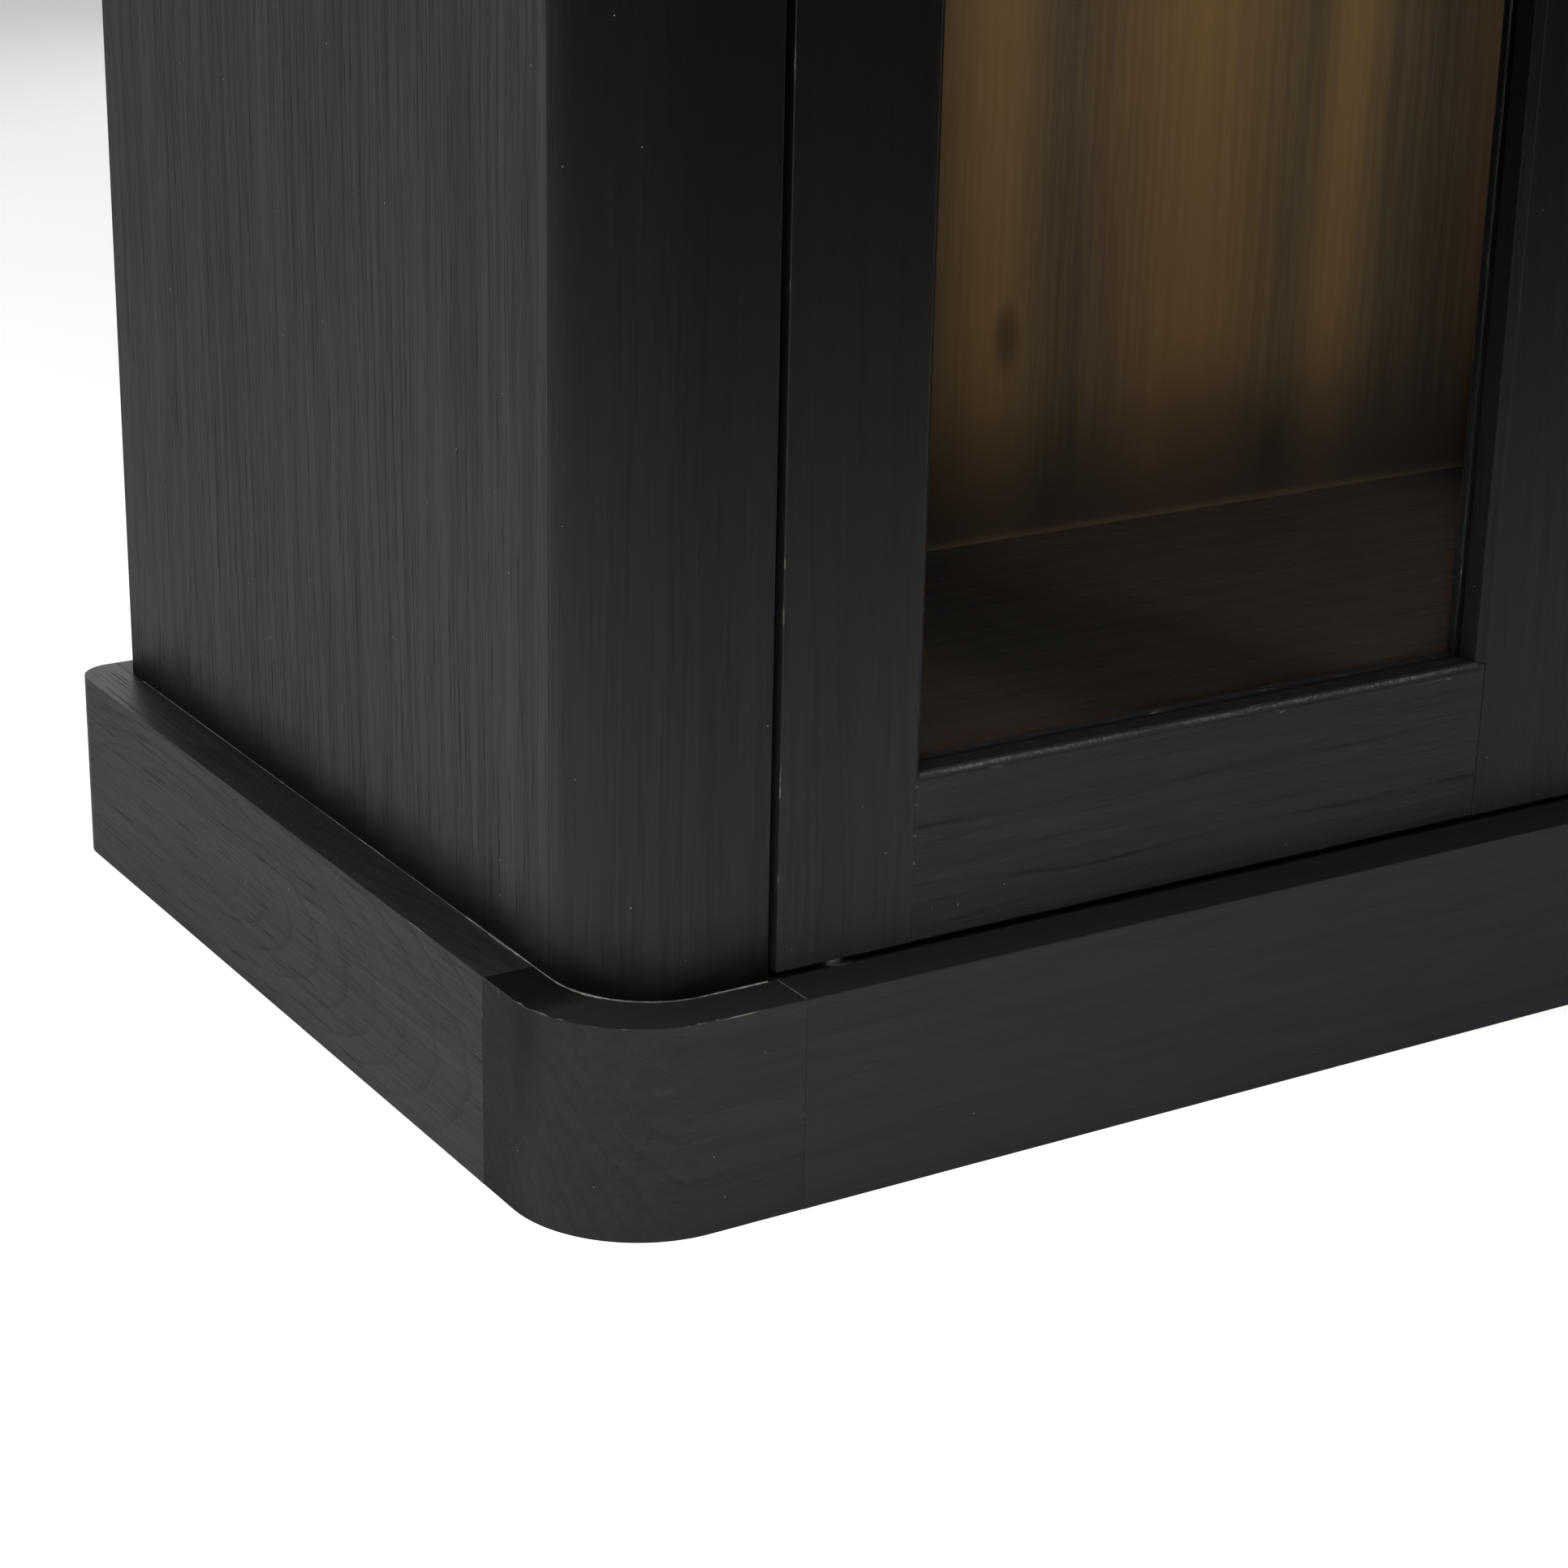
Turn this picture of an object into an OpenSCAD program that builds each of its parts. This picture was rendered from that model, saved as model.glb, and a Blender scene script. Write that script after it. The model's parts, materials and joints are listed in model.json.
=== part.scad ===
// Two-door curio cabinet in dark stained wood with glazed doors and glass shelves.
// Millimetres. The origin is on the floor, under the middle of the plinth; the doors face -Y, +Z is up.
// Paired pieces are drawn for the left side (-X) and mirrored for the right.

/* [Overall] */
// Width over the plinth and the crown
case_w = 932; // [820:2:1120]
// Depth over the plinth and the crown
case_d = 458; // [380:2:560]
// Height from the floor to the top of the crown
case_h = 2000; // [1600:10:2400]

/* [Plinth and crown] */
// Height of the plinth and of the crown
band_h = 80; // [66:1:120]
// Thickness of the front and side boards, which stand out this far from the body
band_t = 20; // [16:1:26]
// Thickness of the back boards
band_back_t = 18; // [14:1:24]
// Outer radius at the two front corners
band_r = 50; // [30:1:60]
// Outer radius at the two back corners
band_back_r = 15; // [4:1:16]
// Length of a corner block along the front
block_w = 88; // [70:1:120]
// Length of a corner block along the side
block_d = 72; // [62:1:120]

/* [Body] */
// Thickness of the side, bottom and top panels
panel_t = 20; // [16:1:25]
// Thickness of the roof panel that closes the crown
roof_t = 18; // [12:1:24]
// Radius of the two front corners of the body
body_r = 38; // [20:1:38]
// Width of a front post
post_w = 64; // [50:1:80]
// Depth of a front post
post_d = 40; // [38:1:60]
// Thickness of the base and crown rails
rail_t = 20; // [16:1:26]
// Thickness of the plywood back panel
back_t = 5; // [3:0.5:8]
// Width of the rabbet that holds the back panel
rabbet_w = 10; // [6:1:12]
// Height of the back panel's lower edge above the floor
back_clear = 12; // [4:1:30]

/* [Doors] */
// Gap between the hinge edge of a door and the post
side_gap = 3.5; // [2.8:0.1:5]
// Gap between the two doors
centre_gap = 3; // [2:0.1:5]
// Gap above and below a door
end_gap = 2.5; // [2:0.1:4]
// Thickness of a door
door_t = 22; // [21:0.5:27]
// Face width of a door stile
stile_w = 56; // [46:1:70]
// Face height of a door rail
rail_h = 60; // [50:1:80]
// Chamfer round the inside of a door frame
frame_chamfer = 3; // [1:0.5:4]
// Depth of the glass behind the face of the door
glass_set = 12; // [10:0.5:13]
// Width of the rabbet that holds the glass
glass_lap = 8; // [6:0.5:10]
// Thickness of the door glass
pane_t = 4; // [3:0.5:5]
// Clearance round the edge of the door glass
pane_gap = 1; // [0.5:0.1:2]
// Thickness of a rail tenon
tenon_t = 6; // [4:0.5:8]
// Height of a rail tenon
tenon_h = 36; // [24:1:40]
// Wood left between a mortise and the pivot bush
mortise_wall = 3; // [2:0.5:6]

/* [Pivots] */
// Distance of the pivot behind the face of the door
pivot_back = 9; // [8:0.5:12]
// Radius of a pivot pin
pin_r = 3; // [2:0.25:3.5]
// Length of a pivot pin inside the door
pin_l = 15; // [8:1:18]
// Radial play between a pin and its bush
pin_play = 0.05; // [0.02:0.01:0.1]
// Wall of a pivot bush
bush_wall = 2; // [1:0.25:2.5]
// Length of a pivot bush
bush_l = 20; // [19:1:30]
// Radius of the flange let into the panel
flange_r = 9; // [7:0.5:12]
// Thickness of that flange
flange_t = 3; // [2:0.5:5]

/* [Shelves] */
// Thickness of a glass shelf
shelf_t = 8; // [5:0.5:10]
// Clearance between a shelf and the sides or the back
shelf_gap = 2; // [1:0.5:5]
// Clearance between a shelf and the swing of the doors
swing_gap = 15; // [5:1:60]
// Spacing of the shelf peg holes
hole_pitch = 64; // [32:1:96]
// Height of the first peg hole above the cabinet floor
hole_first = 160; // [100:1:220]
// Distance of a row of peg holes from the edge of a shelf
row_inset = 45; // [20:1:90]
// Radius of a shelf peg
peg_r = 2.5; // [2:0.25:3.5]
// Length of a peg inside the side panel
peg_l = 10; // [6:1:12]
// Length of the peg tongue under the shelf
tongue_l = 11; // [8:1:20]
// Width of the peg tongue
tongue_w = 10; // [7:1:14]
// Thickness of the peg tongue
tongue_t = 2.5; // [2:0.25:4]

/* [Knobs and catch] */
// Height of a knob above the floor
knob_z = 1000; // [800:5:1200]
// Radius of a knob
knob_r = 12; // [9:0.5:15]
// Projection of a knob from the door
knob_out = 19; // [14:0.5:19]
// Width of the double magnetic catch
catch_w = 72; // [64:1:90]
// Depth of the catch
catch_d = 18; // [16:1:24]
// Height of the catch
catch_h = 16; // [14:1:20]
// Thickness of a strike plate
strike_t = 1.5; // [1:0.1:2]
// Gap between a strike plate and the magnets
catch_gap = 0.4; // [0.3:0.1:1]

/* [Wall brackets] */
// Distance of each bracket from the middle
bracket_x = 350; // [200:5:380]
// Width of a bracket
bracket_w = 40; // [30:1:60]
// Thickness of the bracket steel
bracket_t = 2; // [1.5:0.5:3]
// Length of the leg on the roof
bracket_leg = 50; // [40:1:70]
// Height of the leg against the wall
bracket_rise = 30; // [22:1:40]
// Radius of the wall screw hole
wall_hole_r = 2.75; // [2:0.25:4]

/* [Screws] */
// Radius of a screw shank
shank_r = 2; // [1.5:0.25:2.5]
// Radius of a screw head
head_r = 4; // [3:0.25:5]
// Height of a countersunk or pan head
head_h = 2.5; // [2:0.25:3]
// Depth of a screw in the last piece of wood
bite = 12; // [8:1:14]
// Distance of the first screw from the end of a board
screw_inset = 60; // [30:1:100]

/* [Hidden] */
$fn = 64;

// Clearances: round a fixed piece in its seat, round a tenon or a bead, and the overshoot of a cut
seat_gap = 0.05;
joint_gap = 0.1;
slip = 1;

// Colours
charcoal = [0.20, 0.20, 0.20];
warm_brown = [0.33, 0.22, 0.13];
dark_brown = [0.20, 0.13, 0.09];
pale_wood = [0.62, 0.50, 0.35];
clear_glass = [0.75, 0.85, 0.83, 0.35];
steel = [0.55, 0.56, 0.58];
gunmetal = [0.24, 0.24, 0.25];
brass = [0.72, 0.58, 0.28];
nylon = [0.12, 0.12, 0.12];

// Body box: outer and inner half widths, front face, inner face of the back panel, back face
body_x = case_w / 2 - band_t;
inner_x = body_x - panel_t;
opening_x = body_x - post_w;
front_y = band_t - case_d / 2;
back_y = case_d / 2 - band_back_t;
back_face_y = back_y - back_t;

// Levels: top of the cabinet floor, underside of its ceiling, top of the posts and sides
floor_z = band_h;
ceiling_z = case_h - band_h;
body_top = case_h - roof_t;

// A door in place
door_x = side_gap - opening_x;
door_w = opening_x - side_gap - centre_gap / 2;
door_z = floor_z + end_gap;
door_h = ceiling_z - end_gap - door_z;
stile_full = stile_w + frame_chamfer;
rail_full = rail_h + frame_chamfer;
sight_w = door_w - 2 * stile_full;
sight_h = door_h - 2 * rail_full;
bead_d = door_t - glass_set - pane_t;
bead_w = glass_lap - joint_gap;
bead_chamfer = 2;

// The pivot is on the centre line of the hinge stile
pivot_in = stile_w / 2;
pivot_x = door_x + pivot_in;
pivot_y = front_y + pivot_back;
bush_r = pin_r + pin_play + bush_wall;
collar_r = pin_r + bush_wall;
spigot_r = pin_r + 1;
spigot_l = panel_t - flange_t - 3;
collar_h = end_gap - 0.1;
tenon_l = stile_w - pivot_in - bush_r - mortise_wall;
swing_r = sqrt(pow(pivot_in, 2) + pow(door_t - pivot_back, 2));

// Shelves and the peg holes that carry them
shelf_count = 4;
shelf_w = 2 * (inner_x - shelf_gap);
shelf_y = pivot_y + swing_r + swing_gap;
shelf_d = back_face_y - shelf_gap - shelf_y;
peg_rows = [shelf_y + row_inset, shelf_y + shelf_d - row_inset];
hole_count = floor((ceiling_z - floor_z - 2 * hole_first) / hole_pitch) + 1;
peg_collar_r = peg_r + 1.5;
peg_collar_h = 1;

// Catch: front of its housing, magnets set into it, strike plates on the door backs
catch_y = front_y + door_t + strike_t + catch_gap;
magnet_w = 22;
magnet_d = 6;
magnet_h = 10;
magnet_x = catch_w / 2 - 6 - magnet_w / 2;
strike_w = 24;
strike_h = 12;
strike_z = ceiling_z - catch_h / 2 - 2;
prong_r = 1;
prong_l = 8;
prong_x = 7;

function hole_z(k) = floor_z + hole_first + k * hole_pitch;
// The peg hole nearest to an even share of the height, for shelf i counted from the bottom
function shelf_hole(i) =
    max(0, min(hole_count - 1, round((i * (ceiling_z - floor_z) / (shelf_count + 1) - hole_first) / hole_pitch)));
function shelf_z(i) = hole_z(shelf_hole(i)) + tongue_t / 2;
// n places spread evenly from a to b
function spread(a, b, n) = [for (i = [0:n - 1]) a + (b - a) * i / (n - 1)];

// Draws its children for the left side, or mirrors them to the right
module sided(side) {
    if (side < 0) children();
    else mirror([1, 0, 0]) children();
}

// What a rounding of radius r takes off a corner that is at the origin and opens to +X +Y
module corner_waste(r) {
    difference() {
        translate([-slip, -slip]) square(r + slip);
        translate([r, r]) circle(r);
    }
}

// The front left corner of the body and what lies behind it
module body_corner() {
    translate([-body_x, front_y]) difference() {
        square([case_w / 2, case_d]);
        corner_waste(body_r);
    }
}

// ---- Screws ----

// A countersunk wood screw driven towards +Z, its head level with z = 0; play makes it a hole
module wood_screw(l, play = 0) {
    difference() {
        union() {
            cylinder(h = head_h, r1 = head_r + play, r2 = shank_r + play);
            cylinder(h = l + play, r = shank_r + play);
            if (play > 0) translate([0, 0, -slip]) cylinder(h = slip + play, r = head_r + play);
        }
        if (play == 0) cross_recess();
    }
}

// A pan-head screw driven towards +Z, its head seated on z = 0
module pan_screw(l) {
    difference() {
        union() {
            translate([0, 0, -head_h]) cylinder(h = head_h, r = head_r);
            cylinder(h = l, r = shank_r);
        }
        translate([0, 0, -head_h]) cross_recess();
    }
}

// The cross slot in a screw head
module cross_recess() {
    for (a = [0, 90])
        rotate([0, 0, a]) translate([-head_r * 0.55, -0.45, -slip]) cube([head_r * 1.1, 0.9, slip + 1.4]);
}

// Screws from a front rail, a side panel and a back rail into the boards round them, at height z
module front_screws(z, play = 0) {
    for (x = spread(screw_inset - opening_x, opening_x - screw_inset, 4))
        translate([x, front_y + rail_t, z]) rotate([90, 0, 0]) wood_screw(rail_t + bite, play);
}

module side_screws(z, play = 0) {
    for (y = spread(front_y + block_d + screw_inset / 2, back_face_y - rail_t - screw_inset / 2, 3))
        translate([-inner_x, y, z]) rotate([0, -90, 0]) wood_screw(panel_t + bite, play);
}

module back_screws(z, play = 0) {
    for (x = spread(screw_inset - inner_x, inner_x - screw_inset, 4))
        translate([x, back_face_y - rail_t, z]) rotate([-90, 0, 0]) wood_screw(rail_t + back_t + bite, play);
}

base_screw_z = (floor_z - panel_t) / 2;
crown_screw_z = (ceiling_z + panel_t + body_top) / 2;

module band_screws(z) {
    color(steel) {
        front_screws(z);
        back_screws(z);
        for (side = [-1, 1]) sided(side) side_screws(z);
    }
}

// ---- Plinth and crown: the same six boards at z = z0 ----

module band_front_board(z0, screw_z) {
    color(charcoal) difference() {
        translate([block_w - case_w / 2, -case_d / 2, z0]) cube([case_w - 2 * block_w, band_t, band_h]);
        front_screws(screw_z, seat_gap);
    }
}

module band_back_board(z0, screw_z) {
    color(charcoal) difference() {
        translate([-body_x, back_y, z0]) cube([2 * body_x, band_back_t, band_h]);
        back_screws(screw_z, seat_gap);
    }
}

// Runs to the back edge, where its outer corner is rounded
module band_side_board(side, z0, screw_z) {
    color(charcoal) sided(side) difference() {
        translate([0, 0, z0]) linear_extrude(band_h) difference() {
            translate([-case_w / 2, block_d - case_d / 2]) square([band_t, case_d - block_d]);
            translate([-case_w / 2, case_d / 2]) mirror([0, 1]) corner_waste(band_back_r);
        }
        side_screws(screw_z, seat_gap);
    }
}

// Wraps the rounded front corner of the body
module band_corner_block(side, z0) {
    color(charcoal) sided(side) translate([0, 0, z0]) linear_extrude(band_h) difference() {
        translate([-case_w / 2, -case_d / 2]) difference() {
            square([block_w, block_d]);
            corner_waste(band_r);
        }
        body_corner();
    }
}

// ---- Body ----

module front_post(side) {
    color(charcoal) sided(side) linear_extrude(body_top) intersection() {
        body_corner();
        translate([-body_x, front_y]) square([post_w, post_d]);
    }
}

module side_panel(side) {
    color(charcoal) sided(side) difference() {
        translate([-body_x, front_y + post_d, 0]) cube([panel_t, back_y - front_y - post_d, body_top]);
        translate([-inner_x - rabbet_w, back_face_y, -slip])
            cube([rabbet_w + slip, back_t + slip, body_top + 2 * slip]);
        for (k = [0:hole_count - 1], y = peg_rows)
            translate([slip - inner_x, y, hole_z(k)]) rotate([0, -90, 0])
                cylinder(h = slip + peg_l + joint_gap, r = peg_r + seat_gap, $fn = 32);
        side_screws(base_screw_z, seat_gap);
        side_screws(crown_screw_z, seat_gap);
    }
}

// The cabinet floor or ceiling, notched round the posts
module level_panel(z) {
    translate([0, 0, z]) linear_extrude(panel_t) difference() {
        translate([-inner_x, front_y]) square([2 * inner_x, back_face_y - front_y]);
        for (side = [-1, 1])
            sided(side) translate([-inner_x - slip, front_y - slip])
                square([inner_x - opening_x + slip, post_d + slip]);
    }
}

// A pivot pin on its flange, standing on z = 0; play makes the seat it is let into
module pivot_pin() {
    translate([0, 0, -flange_t - spigot_l]) cylinder(h = spigot_l + slip, r = spigot_r);
    translate([0, 0, -flange_t]) cylinder(h = flange_t, r = flange_r);
    cylinder(h = collar_h, r = collar_r);
    cylinder(h = end_gap + pin_l, r = pin_r);
}

module pivot_seat() {
    translate([0, 0, -flange_t - spigot_l - joint_gap])
        cylinder(h = spigot_l + slip, r = spigot_r + seat_gap);
    translate([0, 0, -flange_t]) cylinder(h = flange_t + slip, r = flange_r + seat_gap);
}

// Puts its children on the cabinet floor and, turned over, under its ceiling, at both pivot lines
module at_pivots(bottom, top) {
    for (side = [-1, 1]) sided(side) {
        if (bottom) translate([pivot_x, pivot_y, floor_z]) children();
        if (top) translate([pivot_x, pivot_y, ceiling_z]) mirror([0, 0, 1]) children();
    }
}

module bottom_panel() {
    color(dark_brown) difference() {
        level_panel(floor_z - panel_t);
        at_pivots(true, false) pivot_seat();
    }
}

module top_panel() {
    color(dark_brown) difference() {
        level_panel(ceiling_z);
        at_pivots(false, true) pivot_seat();
        catch_screw_row(seat_gap);
    }
}

module roof_panel() {
    color(charcoal) difference() {
        translate([0, 0, body_top]) linear_extrude(roof_t) intersection() {
            translate([-body_x, front_y]) square([2 * body_x, back_y - front_y]);
            union() {
                for (side = [-1, 1]) sided(side) body_corner();
            }
        }
        bracket_screw_row(seat_gap);
    }
}

module back_panel() {
    color(warm_brown) difference() {
        translate([-inner_x - rabbet_w, back_face_y, back_clear])
            cube([2 * (inner_x + rabbet_w), back_t, body_top - back_clear]);
        back_screws(base_screw_z, seat_gap);
        back_screws(crown_screw_z, seat_gap);
    }
}

module front_rail(z0, z1, screw_z) {
    color(pale_wood) difference() {
        translate([-opening_x, front_y, z0]) cube([2 * opening_x, rail_t, z1 - z0]);
        front_screws(screw_z, seat_gap);
    }
}

module back_rail(z0, z1, screw_z) {
    color(pale_wood) difference() {
        translate([-inner_x, back_face_y - rail_t, z0]) cube([2 * inner_x, rail_t, z1 - z0]);
        back_screws(screw_z, seat_gap);
    }
}

module base_stretcher() {
    color(pale_wood) translate([-rail_t / 2, front_y + rail_t, 0])
        cube([rail_t, back_face_y - front_y - 2 * rail_t, floor_z - panel_t]);
}

module pivot_pins() {
    color(steel) at_pivots(true, true) pivot_pin();
}

// ---- Shelves ----

module glass_shelf(i) {
    color(clear_glass) translate([-shelf_w / 2, shelf_y, shelf_z(i)]) cube([shelf_w, shelf_d, shelf_t]);
}

// A peg let into the side panel at x = 0, with a flat tongue towards +X whose top is the shelf's seat
module shelf_peg() {
    translate([-peg_l, 0, 0]) rotate([0, 90, 0]) cylinder(h = peg_l + peg_collar_h, r = peg_r, $fn = 32);
    intersection() {
        rotate([0, 90, 0]) cylinder(h = peg_collar_h, r = peg_collar_r, $fn = 32);
        translate([-slip, -peg_collar_r, -peg_collar_r])
            cube([peg_collar_h + 2 * slip, 2 * peg_collar_r, peg_collar_r + tongue_t / 2]);
    }
    translate([0, -tongue_w / 2, -tongue_t / 2]) cube([tongue_l, tongue_w, tongue_t]);
}

module shelf_pegs() {
    color(steel) for (side = [-1, 1], i = [1:shelf_count], y = peg_rows)
        sided(side) translate([-inner_x, y, hole_z(shelf_hole(i))]) shelf_peg();
}

// ---- Catch on the cabinet ceiling ----

module magnet_block(gap = 0) {
    for (side = [-1, 1]) sided(side)
        translate([magnet_x - magnet_w / 2 - gap, catch_y - gap, ceiling_z - (catch_h + magnet_h) / 2 - gap])
            cube([magnet_w + 2 * gap, magnet_d + 2 * gap, magnet_h + 2 * gap]);
}

module catch_screw_row(play = 0) {
    for (side = [-1, 1])
        translate([side * catch_w / 4, catch_y + catch_d - head_r - 1, ceiling_z - catch_h])
            wood_screw(catch_h + bite, play);
}

module catch_body() {
    color(nylon) difference() {
        translate([-catch_w / 2, catch_y, ceiling_z - catch_h]) cube([catch_w, catch_d, catch_h]);
        magnet_block(seat_gap);
        catch_screw_row(seat_gap);
    }
}

module catch_magnets() {
    color(gunmetal) magnet_block();
}

module catch_screws() {
    color(steel) catch_screw_row();
}

// ---- Wall brackets on the roof ----

bend_r = 2 * bracket_t;
bracket_screw_y = case_d / 2 - bracket_leg + 14;

module bracket_screw_row(play = 0) {
    for (side = [-1, 1], dx = [-1, 1])
        translate([side * bracket_x + dx * bracket_w / 4, bracket_screw_y, case_h - bite])
            cylinder(h = bite + slip, r = shank_r + play, $fn = 32);
}

// An angle plate: one leg lies on the roof, the other stands in line with the back of the cabinet
module wall_bracket() {
    difference() {
        translate([-bracket_w / 2, case_d / 2, case_h]) rotate([90, 0, 90]) linear_extrude(bracket_w)
            mirror([1, 0]) difference() {
                square([bracket_leg, bracket_rise]);
                corner_waste(bend_r);
                translate([bracket_t, bracket_t]) difference() {
                    square([bracket_leg, bracket_rise]);
                    corner_waste(bend_r - bracket_t);
                }
            }
        for (dx = [-1, 1]) translate([dx * bracket_w / 4, bracket_screw_y, case_h - slip])
            cylinder(h = bracket_t + 2 * slip, r = shank_r + 0.25, $fn = 32);
        translate([0, case_d / 2 + slip, case_h + bracket_rise * 0.6]) rotate([90, 0, 0])
            cylinder(h = bracket_t + 2 * slip, r = wall_hole_r);
    }
}

module wall_brackets() {
    color(steel) for (side = [-1, 1]) translate([side * bracket_x, 0, 0]) wall_bracket();
}

module bracket_screws() {
    color(steel) for (side = [-1, 1], dx = [-1, 1])
        translate([side * bracket_x + dx * bracket_w / 4, bracket_screw_y, case_h + bracket_t])
            mirror([0, 0, 1]) pan_screw(bite + bracket_t);
}

// ---- Doors, drawn in a frame with x = 0 at the hinge edge, y = 0 at the face, z = 0 at the bottom ----

module door_frame_place(side) {
    sided(side) translate([door_x, front_y, door_z]) children();
}

// The outline of a 45 degree splay from an opening that is inset from the ends of a length l
module splay(l, inset) {
    polygon([
        [inset - slip, -slip],
        [l - inset + slip, -slip],
        [l - inset - frame_chamfer, frame_chamfer],
        [inset + frame_chamfer, frame_chamfer]
    ]);
}

// All that is cut away inside a door frame: sight opening, splay round it and glass rabbet
module frame_opening() {
    translate([stile_full, -slip, rail_full]) cube([sight_w, door_t + 2 * slip, sight_h]);
    intersection() {
        linear_extrude(door_h) splay(door_w, stile_w);
        translate([door_w, 0, 0]) rotate([0, -90, 0]) linear_extrude(door_w) splay(door_h, rail_h);
    }
    translate([stile_full - glass_lap, glass_set, rail_full - glass_lap])
        cube([sight_w + 2 * glass_lap, door_t, sight_h + 2 * glass_lap]);
}

// The tenons of the rail whose lower edge is at z0, at both ends; gap makes them mortises
module tenons(z0, gap = 0) {
    for (x = [stile_w - tenon_l, door_w - stile_w])
        translate([x - gap, (glass_set - tenon_t) / 2 - gap, z0 + (rail_full - tenon_h) / 2 - gap])
            cube([tenon_l + 2 * gap, tenon_t + 2 * gap, tenon_h + 2 * gap]);
}

// A stile at the hinge edge, cut for the rails, the glass and the tenons
module stile_blank() {
    difference() {
        cube([stile_full, door_t, door_h]);
        frame_opening();
        for (z0 = [0, door_h - rail_full]) {
            translate([stile_w, -slip, z0 - slip / 2]) cube([stile_full, door_t + 2 * slip, rail_full + slip / 2]);
            tenons(z0, joint_gap);
        }
    }
}

module hinge_stile(side) {
    color(charcoal) door_frame_place(side) difference() {
        stile_blank();
        for (z = [-slip, door_h - bush_l - joint_gap]) translate([pivot_in, pivot_back, z])
            cylinder(h = bush_l + slip + joint_gap, r = bush_r + seat_gap);
    }
}

module meeting_stile(side) {
    color(charcoal) difference() {
        door_frame_place(side) translate([door_w, 0, 0]) mirror([1, 0, 0]) stile_blank();
        sided(side) knob_place() translate([0, 0, -door_t - slip])
            cylinder(h = door_t + 2 * slip, r = shank_r + 0.25, $fn = 32);
        sided(side) strike_prongs(seat_gap);
    }
}

module door_rail(side, z0) {
    color(charcoal) door_frame_place(side) {
        difference() {
            translate([stile_w, 0, z0]) cube([door_w - 2 * stile_w, door_t, rail_full]);
            frame_opening();
        }
        tenons(z0);
    }
}

module door_glass(side) {
    lap = glass_lap - pane_gap;
    color(clear_glass) door_frame_place(side) translate([stile_full - lap, glass_set, rail_full - lap])
        cube([sight_w + 2 * lap, pane_t, sight_h + 2 * lap]);
}

// Section of a glazing bead, from the rabbet wall at x = 0 to the sight line
module bead_section() {
    polygon([
        [joint_gap, 0], [glass_lap, 0], [glass_lap, bead_d - bead_chamfer],
        [glass_lap - bead_chamfer, bead_d], [joint_gap, bead_d]
    ]);
}

module upright_beads(side) {
    color(charcoal) door_frame_place(side) for (far = [0, 1])
        translate([far * door_w, 0, 0]) mirror([far, 0, 0])
            translate([stile_full - glass_lap, glass_set + pane_t, rail_full - glass_lap + joint_gap])
                linear_extrude(sight_h + 2 * bead_w) bead_section();
}

module level_beads(side) {
    color(charcoal) door_frame_place(side) for (far = [0, 1])
        translate([0, 0, far * door_h]) mirror([0, 0, far])
            translate([door_w - stile_full - joint_gap, glass_set + pane_t, rail_full - glass_lap])
                rotate([0, -90, 0]) linear_extrude(sight_w - 2 * joint_gap) bead_section();
}

module pivot_bushes(side) {
    color(brass) door_frame_place(side) for (z = [0, door_h - bush_l]) translate([pivot_in, pivot_back, z])
        difference() {
            cylinder(h = bush_l, r = bush_r);
            translate([0, 0, -slip]) cylinder(h = bush_l + 2 * slip, r = pin_r + pin_play);
        }
}

// Two prongs that hold a strike plate to the back of the meeting stile
module strike_prongs(play = 0) {
    for (dx = [-prong_x, prong_x])
        translate([dx - magnet_x, front_y + door_t + slip * 0.5, strike_z]) rotate([90, 0, 0])
            cylinder(h = prong_l + slip * 0.5 + play, r = prong_r + play, $fn = 24);
}

module strike_plate(side) {
    color(steel) sided(side) {
        translate([-magnet_x - strike_w / 2, front_y + door_t, strike_z - strike_h / 2])
            cube([strike_w, strike_t, strike_h]);
        strike_prongs();
    }
}

// Puts +Z of its children along the knob, from the face of the door outwards
module knob_place() {
    translate([door_x + door_w - stile_w / 2, front_y, knob_z]) rotate([90, 0, 0]) children();
}

// A turned mushroom knob: foot, waist and domed head, bored for its screw
module knob(side) {
    foot_r = knob_r * 0.66;
    waist_r = knob_r * 0.42;
    foot_h = 2;
    rim_z = knob_out * 0.62;
    dome_h = knob_out - rim_z;
    dome = [for (a = [0:10:90]) [knob_r * cos(a), rim_z + dome_h * sin(a)]];
    waist = [for (t = [0:0.125:1]) [foot_r - (foot_r - waist_r) * sin(180 * t) + (knob_r - foot_r) * pow(t, 3),
        foot_h + (rim_z - foot_h) * t]];
    color(gunmetal) sided(side) knob_place() difference() {
        rotate_extrude() polygon(concat([[0, 0], [foot_r, 0]], waist, dome));
        translate([0, 0, -slip]) cylinder(h = knob_out * 0.6 + slip, r = shank_r + seat_gap, $fn = 32);
    }
}

module knob_screw(side) {
    color(steel) sided(side) knob_place() translate([0, 0, -door_t]) pan_screw(door_t + knob_out * 0.55);
}

band_front_board(0, base_screw_z);  // plinth_front_board
band_side_board(-1, 0, base_screw_z);  // plinth_side_board_left
band_side_board(1, 0, base_screw_z);  // plinth_side_board_right
band_back_board(0, base_screw_z);  // plinth_back_board
band_corner_block(-1, 0);  // plinth_corner_block_left
band_corner_block(1, 0);  // plinth_corner_block_right
band_front_board(ceiling_z, crown_screw_z);  // crown_front_board
band_side_board(-1, ceiling_z, crown_screw_z);  // crown_side_board_left
band_side_board(1, ceiling_z, crown_screw_z);  // crown_side_board_right
band_back_board(ceiling_z, crown_screw_z);  // crown_back_board
band_corner_block(-1, ceiling_z);  // crown_corner_block_left
band_corner_block(1, ceiling_z);  // crown_corner_block_right
front_post(-1);  // front_post_left
front_post(1);  // front_post_right
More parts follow.
